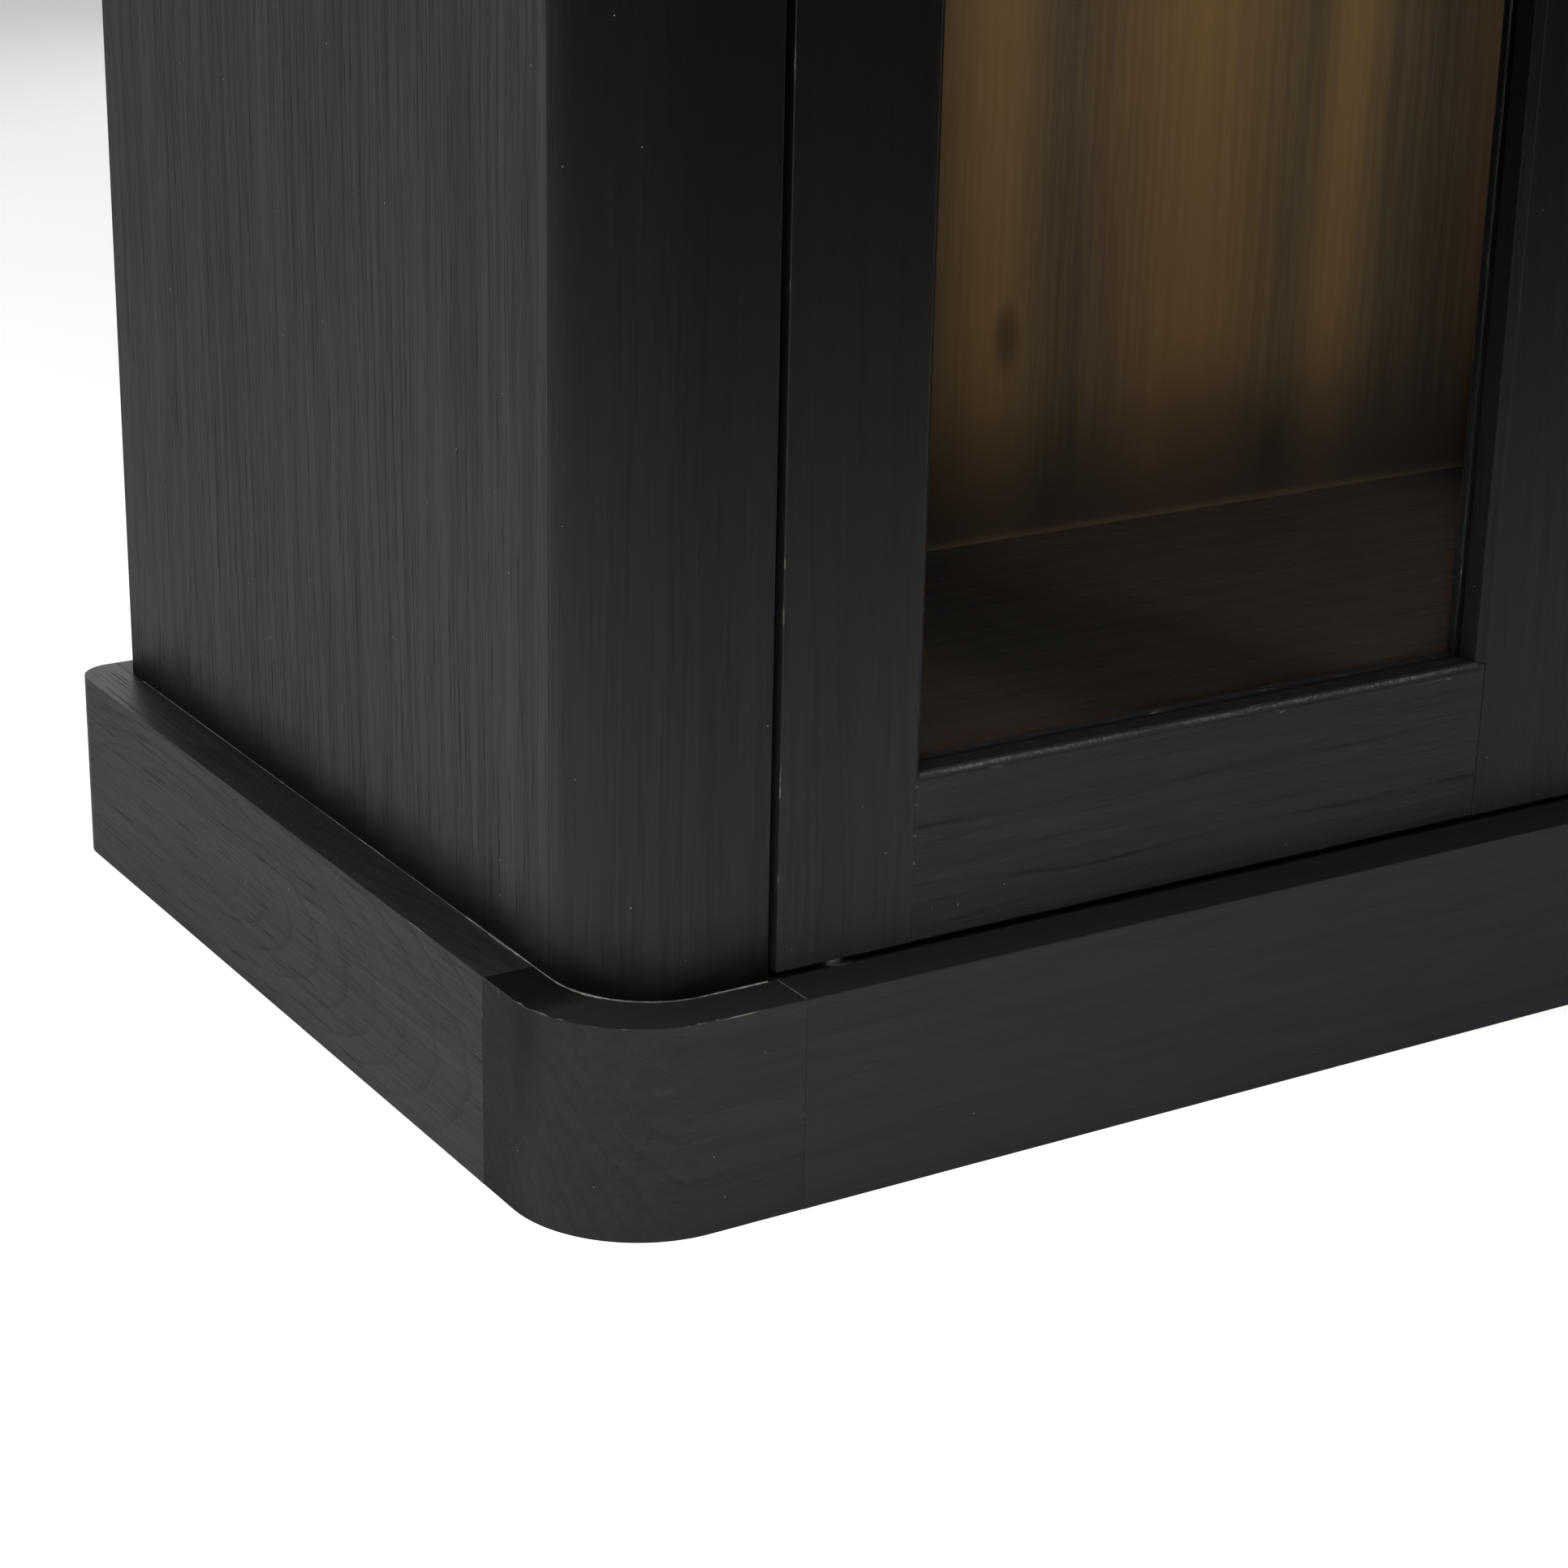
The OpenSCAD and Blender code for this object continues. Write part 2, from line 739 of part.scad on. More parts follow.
side_panel(-1);  // side_panel_left
side_panel(1);  // side_panel_right
bottom_panel();
top_panel();
roof_panel();
back_panel();
front_rail(0, floor_z - panel_t, base_screw_z);  // base_rail_front
back_rail(0, floor_z - panel_t, base_screw_z);  // base_rail_back
base_stretcher();
front_rail(ceiling_z + panel_t, body_top, crown_screw_z);  // crown_rail_front
back_rail(ceiling_z + panel_t, body_top, crown_screw_z);  // crown_rail_back
glass_shelf(1);  // glass_shelf_1
glass_shelf(2);  // glass_shelf_2
glass_shelf(3);  // glass_shelf_3
glass_shelf(4);  // glass_shelf_4
shelf_pegs();
pivot_pins();
catch_body();
catch_magnets();
catch_screws();
wall_brackets();
bracket_screws();
band_screws(base_screw_z);  // plinth_screws
band_screws(crown_screw_z);  // crown_screws
hinge_stile(-1);  // hinge_stile_left
meeting_stile(-1);  // meeting_stile_left
door_rail(-1, door_h - rail_full);  // top_rail_left
door_rail(-1, 0);  // bottom_rail_left
door_glass(-1);  // door_glass_left
upright_beads(-1);  // upright_beads_left
level_beads(-1);  // level_beads_left
pivot_bushes(-1);  // pivot_bushes_left
strike_plate(-1);  // strike_plate_left
knob(-1);  // knob_left
knob_screw(-1);  // knob_screw_left
hinge_stile(1);  // hinge_stile_right
meeting_stile(1);  // meeting_stile_right
door_rail(1, door_h - rail_full);  // top_rail_right
door_rail(1, 0);  // bottom_rail_right
door_glass(1);  // door_glass_right
upright_beads(1);  // upright_beads_right
level_beads(1);  // level_beads_right
pivot_bushes(1);  // pivot_bushes_right
strike_plate(1);  // strike_plate_right
knob(1);  // knob_right
knob_screw(1);  // knob_screw_right
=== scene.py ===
"""Curio cabinet: the looks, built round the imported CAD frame.

Metres, +Z up, doors facing -Y, origin on the floor under the middle of the plinth.
"""
import json
import math
import random

import bmesh
import bpy
from mathutils import Matrix, Vector


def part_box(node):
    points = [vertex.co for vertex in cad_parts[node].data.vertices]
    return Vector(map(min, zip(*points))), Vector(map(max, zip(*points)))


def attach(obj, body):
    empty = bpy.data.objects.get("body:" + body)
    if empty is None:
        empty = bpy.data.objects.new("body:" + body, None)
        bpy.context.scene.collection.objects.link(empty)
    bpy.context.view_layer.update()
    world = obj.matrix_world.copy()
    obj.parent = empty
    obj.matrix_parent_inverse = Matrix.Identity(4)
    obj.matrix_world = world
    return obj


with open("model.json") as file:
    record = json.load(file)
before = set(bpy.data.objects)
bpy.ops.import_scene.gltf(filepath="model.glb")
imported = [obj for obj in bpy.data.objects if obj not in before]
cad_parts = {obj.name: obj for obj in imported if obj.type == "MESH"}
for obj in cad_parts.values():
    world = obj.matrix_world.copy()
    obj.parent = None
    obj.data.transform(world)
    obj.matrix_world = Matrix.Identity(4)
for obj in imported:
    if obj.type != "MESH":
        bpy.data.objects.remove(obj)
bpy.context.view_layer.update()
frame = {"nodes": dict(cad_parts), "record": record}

MM = 0.001
NODES = frame["nodes"]
SLOT_OF = {row["node"]: row["material_slot"] for row in frame["record"]["subparts"]}

# Driving sizes, read from the frame
PLINTH_LO, PLINTH_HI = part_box("plinth_corner_block_left")
POST_LO, POST_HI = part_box("front_post_left")
BAND_H = PLINTH_HI.z
FLOOR_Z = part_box("bottom_panel")[1].z
FRONT_Y = POST_LO.y
BACK_FACE_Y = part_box("back_panel")[0].y


# ---------------------------------------------------------------- camera

LENS_MM = 80.1
VIEW_YAW = math.radians(32.24)      # from straight at the doors towards the right
VIEW_PITCH = math.radians(20.11)    # downwards
VIEW_ROLL = math.radians(1.21)
# From the square corner of the plinth on the floor to the eye, in plinth heights
EYE_FROM_CORNER = Vector((-6.31, -11.52, 6.996))


def make_camera():
    across = Vector((math.cos(VIEW_YAW), -math.sin(VIEW_YAW), 0))
    ahead = Vector((math.sin(VIEW_YAW) * math.cos(VIEW_PITCH), math.cos(VIEW_YAW) * math.cos(VIEW_PITCH),
                    -math.sin(VIEW_PITCH)))
    above = across.cross(ahead)
    right = across * math.cos(VIEW_ROLL) + above * math.sin(VIEW_ROLL)
    up = above * math.cos(VIEW_ROLL) - across * math.sin(VIEW_ROLL)
    data = bpy.data.cameras.new("camera")
    data.lens = LENS_MM
    data.sensor_width = 36
    data.clip_end = 60
    camera = bpy.data.objects.new("camera", data)
    camera.matrix_world = Matrix((right, up, -ahead)).transposed().to_4x4()
    camera.location = Vector((PLINTH_LO.x, PLINTH_LO.y, 0)) + EYE_FROM_CORNER * BAND_H
    bpy.context.scene.collection.objects.link(camera)
    bpy.context.scene.camera = camera


# ---------------------------------------------------------------- node trees

class Tree:
    """A short way to write the nodes of a new material, or of the tree that it is given."""

    def __init__(self, name, tree=None):
        if tree is None:
            self.material = bpy.data.materials.new(name)
            self.material.use_nodes = True
            tree = self.material.node_tree
            tree.nodes.clear()
        self.nodes = tree.nodes
        self.links = tree.links

    def put(self, socket, value):
        """Links value to the socket if it is a socket, or sets it."""
        if isinstance(value, bpy.types.NodeSocket):
            self.links.new(value, socket)
        elif value is not None:
            socket.default_value = value

    def node(self, kind, settings=None, **values):
        """A shader node with its settings and its inputs; an input's name has _ for each space."""
        made = self.nodes.new("ShaderNode" + kind)
        for name, value in (settings or {}).items():
            setattr(made, name, value)
        for name, value in values.items():
            self.put(made.inputs[name.replace("_", " ")], value)
        return made

    def math(self, operation, a, b=None, c=None):
        made = self.nodes.new("ShaderNodeMath")
        made.operation = operation
        for socket, value in zip(made.inputs, (a, b, c)):
            self.put(socket, value)
        return made.outputs[0]

    def blend(self, amount, a, b):
        """Colour a where amount is 0 and b where it is 1."""
        made = self.nodes.new("ShaderNodeMix")
        made.data_type = "RGBA"
        inputs = {s.identifier: s for s in made.inputs}
        self.put(inputs["Factor_Float"], amount)
        self.put(inputs["A_Color"], a)
        self.put(inputs["B_Color"], b)
        return {s.identifier: s for s in made.outputs}["Result_Color"]

    def steps(self, value, low, high, to_low=0.0, to_high=1.0):
        """value eased from low..high to to_low..to_high and held outside."""
        made = self.node("MapRange", {"interpolation_type": "SMOOTHSTEP"})
        for socket, v in zip(made.inputs, (value, low, high, to_low, to_high)):
            self.put(socket, v)
        return made.outputs[0]

    def noise(self, vector, scale=1.0, detail=2.0, roughness=0.5):
        """Noise in about 0..1, with scale cells to the unit of the vector."""
        made = self.node("TexNoise", None, Vector=vector, Scale=scale, Detail=detail, Roughness=roughness)
        return made.outputs[0]

    def stretch(self, x, y, z, scale):
        """A vector of the three coordinates, each times its own scale."""
        made = self.nodes.new("ShaderNodeCombineXYZ")
        for socket, value, factor in zip(made.inputs, (x, y, z), scale):
            self.put(socket, self.math("MULTIPLY", value, factor))
        return made.outputs[0]

    def finish(self, shader):
        out = self.nodes.new("ShaderNodeOutputMaterial")
        self.links.new(shader, out.inputs[0])
        return self.material


def rgb(r, g, b):
    """A linear colour from an sRGB one in 0..255."""
    def linear(v):
        v /= 255
        return v / 12.92 if v <= 0.04045 else ((v + 0.055) / 1.055) ** 2.4
    return (linear(r), linear(g), linear(b), 1.0)


# ---------------------------------------------------------------- wood

# Each look has its colours, how strongly each part of the grain shows, its gloss, and the specks of dust
CHARCOAL = {
    "mid": rgb(31, 31, 31), "dark": rgb(11, 11, 12), "light": rgb(46, 45, 43), "worn": rgb(98, 94, 88),
    "cast": (rgb(31, 32, 29), rgb(31, 31, 35)), "rings": 0.65, "streaks": 0.35, "pores": 0.6,
    "rough": 0.45, "specular": 0.03, "bump": 0.3, "speck": rgb(125, 123, 118), "specks": 0.8,
}
WARM = {
    "mid": rgb(98, 80, 61), "dark": rgb(74, 58, 46), "light": rgb(126, 100, 70), "worn": rgb(120, 96, 64),
    "cast": (rgb(100, 87, 65), rgb(88, 70, 64)), "rings": 0.12, "streaks": 0.5, "pores": 0.15,
    "rough": 0.55, "specular": 0.08, "bump": 0.10, "speck": rgb(160, 155, 140), "specks": 0.5,
}
FLOORING = {
    "mid": rgb(46, 41, 34), "dark": rgb(28, 27, 22), "light": rgb(62, 49, 41), "worn": rgb(80, 66, 52),
    "cast": (rgb(42, 41, 31), rgb(64, 42, 37)), "rings": 0.3, "streaks": 0.7, "pores": 0.3,
    "rough": 0.5, "specular": 0.05, "bump": 0.10, "speck": rgb(120, 112, 100), "specks": 0.8,
}
RAW = {
    "mid": rgb(186, 156, 114), "dark": rgb(150, 116, 78), "light": rgb(206, 180, 138),
    "worn": rgb(214, 190, 150), "cast": (rgb(190, 164, 112), rgb(180, 146, 112)), "rings": 0.6,
    "streaks": 0.4, "pores": 0.3, "rough": 0.62, "specular": 0.3, "bump": 0.15,
    "speck": rgb(120, 100, 80), "specks": 0.3,
}
RING = 6.5 * MM         # width of a growth ring
RELIEF = 0.25 * MM      # depth of the grain's bump
DUST_CELLS = 75         # cells to the metre, with a speck in each
DUST_R = 0.026          # size of a speck, in cells


def wood(name, look, grain, width, pith, seed, figure, tone, wear=0.0, paint=None):
    """Stained wood with its grain along one axis and its figure across another.

    pith is where the heart of the tree meets the board: its place along the grain, across it and through
    the board, and how fast it leans away. figure is how strongly the grain shows, from 0 to 1, tone is how
    light the board is among its kind, and wear is how much of its surface is rubbed through.
    paint(tree, axes, colour) may change the colour.
    """
    draw = random.Random(seed)
    t = Tree(name)
    place = t.node("SeparateXYZ", None, Vector=t.node("TexCoord").outputs["Object"])
    axes = {"X": place.outputs[0], "Y": place.outputs[1], "Z": place.outputs[2]}
    depth = ({"X", "Y", "Z"} - {grain, width}).pop()
    g = t.math("ADD", axes[grain], draw.uniform(3, 9))
    w = t.math("ADD", axes[width], draw.uniform(3, 9))
    d = t.math("ADD", axes[depth], draw.uniform(3, 9))

    # Growth rings round the pith, which leans away from the face and so draws arches on it
    along, across, through, lean = pith
    slow = t.noise(t.stretch(w, d, g, (5, 5, 2.2)), detail=1.0)
    sway = t.math("MULTIPLY_ADD", slow, 0.05, -0.025 - across)
    aside = t.math("ADD", axes[width], sway)
    away = t.math("MULTIPLY_ADD", axes[grain], lean, -along * lean - through)
    away = t.math("ADD", away, axes[depth])
    squares = t.math("ADD", t.math("MULTIPLY", aside, aside), t.math("MULTIPLY", away, away))
    reach = t.math("SQRT", squares)
    ripple = t.noise(t.stretch(w, d, g, (90, 90, 9)), detail=3.0)
    ring = t.math("FRACT", t.math("MULTIPLY_ADD", ripple, 0.55, t.math("DIVIDE", reach, RING)))
    soft = t.math("MULTIPLY", t.math("POWER", ring, 3.0), 0.35)
    late = t.math("MAXIMUM", soft, t.steps(ring, 0.72, 0.97))
    broken = t.noise(t.stretch(w, d, g, (26, 26, 5)), detail=2.0)
    late = t.math("MULTIPLY", late, t.steps(broken, 0.3, 0.6))

    streak = t.noise(t.stretch(w, d, g, (190, 190, 4.5)), detail=4.0, roughness=0.65)
    fibre = t.noise(t.stretch(w, d, g, (1200, 1200, 22)), detail=2.0, roughness=0.6)
    pore = t.steps(t.noise(t.stretch(w, d, g, (1100, 1100, 26)), detail=2.0), 0.56, 0.68)
    patch = t.noise(t.stretch(w, d, g, (8, 8, 4)), detail=3.0)
    cloud = t.noise(t.stretch(w, d, g, (24, 24, 9)), detail=4.0, roughness=0.6)

    fine = t.math("MULTIPLY", fibre, 0.6)
    shade = t.math("MULTIPLY_ADD", t.steps(streak, 0.32, 0.68), look["streaks"], fine)
    shade = t.math("MULTIPLY_ADD", cloud, 0.4, shade)
    plain = t.blend(t.steps(patch, 0.35, 0.65), *look["cast"])
    plain = t.blend(0.4, plain, look["mid"])
    colour = t.blend(t.steps(shade, 0.3, 1.1), look["dark"], look["light"])
    colour = t.blend(0.65 * figure, plain, colour)
    colour = t.blend(t.math("MULTIPLY", late, look["rings"] * figure), colour, look["dark"])
    pitted = t.math("MULTIPLY", pore, look["pores"] * (0.15 + 0.6 * figure))
    colour = t.blend(pitted, colour, look["dark"])
    colour = t.blend(1.0 - tone, colour, (0, 0, 0, 1))
    if paint:
        colour = paint(t, axes, colour)
    if wear:
        rub = t.noise(t.stretch(w, d, g, (210, 210, 40)), detail=4.0, roughness=0.7)
        worn = t.steps(rub, 0.68 - 0.2 * wear, 0.78 - 0.16 * wear)
        colour = t.blend(worn, colour, look["worn"])
    spot = t.stretch(w, d, g, (1, 1, 1))
    speck = t.node("TexVoronoi", {"feature": "F1"}, Vector=spot, Scale=DUST_CELLS)
    dust = t.steps(speck.outputs["Distance"], DUST_R * 0.5, DUST_R, 1.0, 0.0)
    colour = t.blend(t.math("MULTIPLY", dust, look["specks"]), colour, look["speck"])

    rough = t.math("MULTIPLY_ADD", cloud, 0.16, look["rough"] - 0.08)
    rough = t.math("MULTIPLY_ADD", pore, 0.15, rough)
    relief = t.math("MULTIPLY_ADD", fibre, 0.6, t.math("MULTIPLY", late, -0.6))
    relief = t.math("MULTIPLY_ADD", pore, -0.8, relief)
    bump = t.node("Bump", None, Strength=look["bump"], Distance=RELIEF, Height=relief)
    shader = t.node("BsdfPrincipled", None, Base_Color=colour, Roughness=rough, Normal=bump.outputs[0],
                    Specular_IOR_Level=look["specular"])
    return t.finish(shader.outputs[0])


# ---------------------------------------------------------------- other materials

def metal(name, colour, rough, brush=0.0, metallic=1.0):
    """Metal with fine scratches and a cloudy sheen."""
    t = Tree(name)
    place = t.node("TexCoord").outputs["Object"]
    cloud = t.noise(place, 60, 3.0)
    scratch = t.noise(place, 900, 2.0, 0.7)
    darker = tuple(c * 0.75 for c in colour[:3]) + (1,)
    tone = t.blend(t.steps(cloud, 0.35, 0.7), colour, darker)
    roughness = t.math("MULTIPLY_ADD", scratch, 0.18, rough - 0.05)
    bump = t.node("Bump", None, Strength=0.08 + brush, Distance=0.05 * MM, Height=scratch)
    shader = t.node("BsdfPrincipled", None, Base_Color=tone, Roughness=roughness, Metallic=metallic,
                    Normal=bump.outputs[0])
    return t.finish(shader.outputs[0])


def plastic(name, colour):
    """Moulded plastic with a fine grain."""
    t = Tree(name)
    place = t.node("TexCoord").outputs["Object"]
    grain = t.noise(place, 1500, 2.0)
    bump = t.node("Bump", None, Strength=0.25, Distance=0.1 * MM, Height=grain)
    lighter = tuple(c * 1.35 for c in colour[:3]) + (1,)
    tone = t.blend(t.steps(t.noise(place, 90, 2.0), 0.3, 0.7), colour, lighter)
    roughness = t.math("MULTIPLY_ADD", grain, 0.2, 0.42)
    shader = t.node("BsdfPrincipled", None, Base_Color=tone, Roughness=roughness, Normal=bump.outputs[0])
    return t.finish(shader.outputs[0])


FAINT_MIRROR_IOR = 1.1
FAINT_MIRROR_TINT = (0.3, 0.3, 0.3, 1)


def glass(name, face, edge, wide):
    """Clear glass that lets lamps through and hardly mirrors the studio.

    The faces across the axis wide are tinted face, and the others edge.
    """
    t = Tree(name)
    smear = t.noise(t.node("TexCoord").outputs["Object"], 14, 3.0)
    haze = t.steps(smear, 0.5, 0.8, 0.0, 0.004)
    normal = t.node("SeparateXYZ", None, Vector=t.node("TexCoord").outputs["Normal"])
    sideways = t.math("SUBTRACT", 1.0, t.math("ABSOLUTE", normal.outputs[wide]))
    tint = t.blend(sideways, face, edge)
    clear = t.node("BsdfPrincipled", None, Base_Color=tint, Roughness=haze, IOR=FAINT_MIRROR_IOR,
                   Transmission_Weight=1.0, Specular_Tint=FAINT_MIRROR_TINT)
    through = t.node("BsdfTransparent", None, Color=tint)
    path = t.node("LightPath")
    mix = t.node("MixShader")
    t.put(mix.inputs[0], t.math("MAXIMUM", path.outputs["Is Shadow Ray"], path.outputs["Is Diffuse Ray"]))
    t.put(mix.inputs[1], clear.outputs[0])
    t.put(mix.inputs[2], through.outputs[0])
    return t.finish(mix.outputs[0])


def glass_arris():
    """The ground and polished arris of a glass shelf, which catches green light."""
    t = Tree("shelf_glass_arris")
    grind = t.noise(t.node("TexCoord").outputs["Object"], 420, 3.0)
    colour = t.blend(t.steps(grind, 0.3, 0.7), rgb(92, 138, 120), rgb(142, 182, 164))
    bump = t.node("Bump", None, Strength=0.2, Distance=0.1 * MM, Height=grind)
    roughness = t.math("MULTIPLY_ADD", grind, 0.25, 0.12)
    shader = t.node("BsdfPrincipled", None, Base_Color=colour, Roughness=roughness, Normal=bump.outputs[0])
    return t.finish(shader.outputs[0])


def plain_floor():
    """Pale matt paint."""
    t = Tree("floor_paint")
    place = t.node("TexCoord").outputs["Object"]
    tone = t.blend(t.noise(place, 3, 2.0), (0.80, 0.80, 0.80, 1), (0.83, 0.83, 0.83, 1))
    shader = t.node("BsdfPrincipled", None, Base_Color=tone, Roughness=0.95, Specular_IOR_Level=0.1)
    return t.finish(shader.outputs[0])


# ---------------------------------------------------------------- the CAD wood: arrises and materials

# Knots of the back panel, in metres: place across, height, radius
KNOTS = [(0.007, 0.182, 0.005), (0.036, 0.094, 0.004), (0.178, 0.104, 0.006), (-0.21, 0.34, 0.008),
         (0.29, 0.52, 0.007), (-0.08, 0.71, 0.009), (0.12, 0.93, 0.006), (-0.33, 1.05, 0.008),
         (0.24, 1.31, 0.009), (-0.15, 1.47, 0.007), (0.05, 1.72, 0.008), (0.35, 1.80, 0.006)]

# Amber streaks of the back panel, in metres: place across, half width
STREAKS = [(-0.012, 0.030), (0.118, 0.055), (0.215, 0.018), (-0.13, 0.03), (-0.27, 0.05), (0.33, 0.04),
           (-0.40, 0.02)]


def back_paint(t, axes, colour):
    """Amber streaks, knots, painted shade along the foot and a pale line at the floor; the outer face is
    plain.
    """
    x, z = axes["X"], axes["Z"]
    drift = t.math("MULTIPLY_ADD", t.noise(t.stretch(x, z, 0.0, (8, 1.5, 0)), detail=3.0), 0.05, -0.025)
    for across, half in STREAKS:
        off = t.math("ABSOLUTE", t.math("SUBTRACT", t.math("ADD", x, drift), across))
        colour = t.blend(t.steps(off, 0.0, half * 1.6, 0.55, 0.0), colour, rgb(164, 122, 78))
    for across, height, radius in KNOTS:
        dx = t.math("DIVIDE", t.math("SUBTRACT", x, across), radius)
        dz = t.math("DIVIDE", t.math("SUBTRACT", z, height), radius * 2.2)
        far = t.math("SQRT", t.math("ADD", t.math("MULTIPLY", dx, dx), t.math("MULTIPLY", dz, dz)))
        colour = t.blend(t.steps(far, 0.4, 2.2, 0.6, 0.0), colour, rgb(58, 40, 30))
    # Painted shade: the panel is darker along its foot, next to the cabinet's floor, where less light
    # reaches.
    ragged = t.math("MULTIPLY_ADD", t.noise(t.stretch(x, z, 0.0, (12, 6, 0)), detail=3.0), 0.04, z)
    colour = t.blend(t.steps(ragged, FLOOR_Z + 0.02, FLOOR_Z + 0.13, 0.9, 0.0), colour, rgb(46, 35, 32))
    outside = t.steps(axes["Y"], BACK_FACE_Y + 3 * MM, BACK_FACE_Y + 4 * MM)
    plain = t.noise(t.stretch(x, z, 0.0, (30, 1.2, 0)), detail=4.0)
    colour = t.blend(t.math("MULTIPLY", outside, 0.85), colour,
                     t.blend(t.steps(plain, 0.3, 0.7), rgb(84, 66, 50), rgb(110, 87, 64)))
    line = t.math("MULTIPLY_ADD", t.noise(t.stretch(x, z, 0.0, (40, 1, 0)), detail=2.0), 1.6 * MM, z)
    pale = t.steps(line, FLOOR_Z + 0.8 * MM, FLOOR_Z + 6 * MM, 0.55, 0.0)
    return t.blend(pale, colour, rgb(104, 82, 60))


def floor_paint(t, axes, colour):
    """Faint round rubs on the cabinet's floor, and painted shade on its front edge under the doors."""
    flat = t.stretch(axes["X"], axes["Y"], 0.0, (1, 1, 0))
    spot = t.node("TexVoronoi", {"feature": "F1"}, Vector=flat, Scale=9)
    off = t.math("ABSOLUTE", t.math("SUBTRACT", spot.outputs["Distance"], 0.2))
    broken = t.steps(t.noise(t.stretch(axes["X"], axes["Y"], 0.0, (30, 30, 0)), detail=3.0), 0.5, 0.65)
    scuff = t.math("MULTIPLY", t.steps(off, 0.0, 0.02, 0.25, 0.0), broken)
    colour = t.blend(scuff, colour, rgb(96, 88, 78))
    # Painted shade: the front edge, seen in the gap under the doors, is made nearly black.
    front = t.steps(axes["Y"], POST_HI.y - 0.01, POST_HI.y - 0.005, 1.0, 0.0)
    return t.blend(front, colour, rgb(8, 8, 8))


def painted_foot_shade(t, axes, colour):
    """Painted shade that lies darker along the foot of the body, with a ragged upper edge."""
    rags = t.noise(t.stretch(axes["X"], axes["Y"], axes["Z"], (30, 30, 60)), detail=4.0)
    ragged = t.math("MULTIPLY_ADD", rags, 0.022, axes["Z"])
    return t.blend(t.steps(ragged, BAND_H + 0.010, BAND_H + 0.042, 0.92, 0.0), colour, rgb(4, 4, 4))


def painted_upper_shade(t, axes, colour):
    """Painted shade, darker higher up on the doors and the posts, where less light comes up from the pale
    floor.
    """
    return t.blend(t.steps(axes["Z"], BAND_H - 0.02, BAND_H + 0.36, 0.0, 0.85), colour, rgb(2, 2, 2))


def post_paint(t, axes, colour):
    """Painted shade, darker higher up and along the foot."""
    return painted_foot_shade(t, axes, painted_upper_shade(t, axes, colour))


def painted_ledge_shade(t, axes, colour):
    """Painted shade: the ledge is darker, as the body keeps light from above off it."""
    return t.blend(t.steps(axes["Z"], BAND_H - 0.6 * MM, BAND_H - 0.2 * MM, 0.0, 0.6), colour, rgb(5, 5, 5))


ROUNDED_END = 48 * MM     # how far back the rounded part of a corner block reaches


def block_paint(t, axes, colour):
    """A corner block is darker on its side, behind the rounded part, and has painted shade on its ledge."""
    inward = t.math("SUBTRACT", axes["Y"], PLINTH_LO.y + ROUNDED_END)
    waves = t.noise(t.stretch(axes["X"], axes["Y"], axes["Z"], (20, 20, 20)), detail=3.0)
    wavy = t.math("MULTIPLY_ADD", waves, 0.02, inward)
    colour = t.blend(t.steps(wavy, -0.008, 0.014, 0.0, 0.9), colour, rgb(2, 2, 3))
    return painted_ledge_shade(t, axes, colour)


def rail_paint(t, axes, colour):
    """Two long faint waves of grain, painted shade lines along the edges at the top, and dust along the
    splay between them.
    """
    lo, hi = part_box("bottom_rail_left")
    slow = t.noise(t.stretch(axes["X"], 0.0, 0.0, (5, 0, 0)), detail=1.5)
    swing = t.math("MULTIPLY_ADD", slow, 0.026, axes["Z"])
    fade = t.steps(t.noise(t.stretch(axes["X"], 0.0, axes["Z"], (14, 0, 30)), detail=3.0), 0.35, 0.6)
    for height, amount in ((lo.z + 0.030, 0.5), (lo.z + 0.054, 0.35)):
        off = t.math("ABSOLUTE", t.math("SUBTRACT", swing, height))
        wave = t.math("MULTIPLY", t.steps(off, 0.0, 0.0018, amount, 0.0), fade)
        colour = t.blend(wave, colour, rgb(7, 7, 7))
    # Painted shade: a thin dark line along the top edge of the rail.
    colour = t.blend(t.steps(axes["Z"], hi.z - 0.7 * MM, hi.z - 0.3 * MM, 0.0, 0.6), colour, rgb(8, 8, 9))
    behind = t.math("SUBTRACT", axes["Y"], lo.y)
    off_edge = t.math("ABSOLUTE", t.math("SUBTRACT", behind, 0.35 * MM))
    # Painted shade: a thin dark line along the front edge of the splay.
    painted_shade_line = t.steps(off_edge, 0.1 * MM, 0.45 * MM, 0.8, 0.0)
    high = t.steps(axes["Z"], hi.z - 3.4 * MM, hi.z - 3.0 * MM)
    colour = t.blend(t.math("MULTIPLY", painted_shade_line, high), colour, rgb(4, 4, 4))
    fine = t.stretch(axes["X"], axes["Y"], axes["Z"], (700, 900, 900))
    speckle = t.noise(fine, detail=4.0, roughness=0.85)
    patches = t.noise(t.stretch(axes["X"], 0.0, 0.0, (25, 0, 0)), detail=3.0)
    patchy = t.steps(patches, 0.35, 0.65, 0.3, 1.0)
    band = t.steps(t.math("ABSOLUTE", t.math("SUBTRACT", behind, 2.3 * MM)), 0.3 * MM, 1.2 * MM, 1.0, 0.0)
    dusty = t.math("MULTIPLY", t.math("MULTIPLY", band, high), t.steps(speckle, 0.42, 0.66, 0.1, 1.0))
    return t.blend(t.math("MULTIPLY", dusty, patchy), colour, rgb(88, 88, 84))


# node: (look, grain axis, width axis, pith or None, figure, tone, wear of its arrises, paint)
BOARDS = {}


def add_boards(names, *facts):
    """Gives the same facts to each node in names."""
    for name in names.split():
        BOARDS[name] = facts


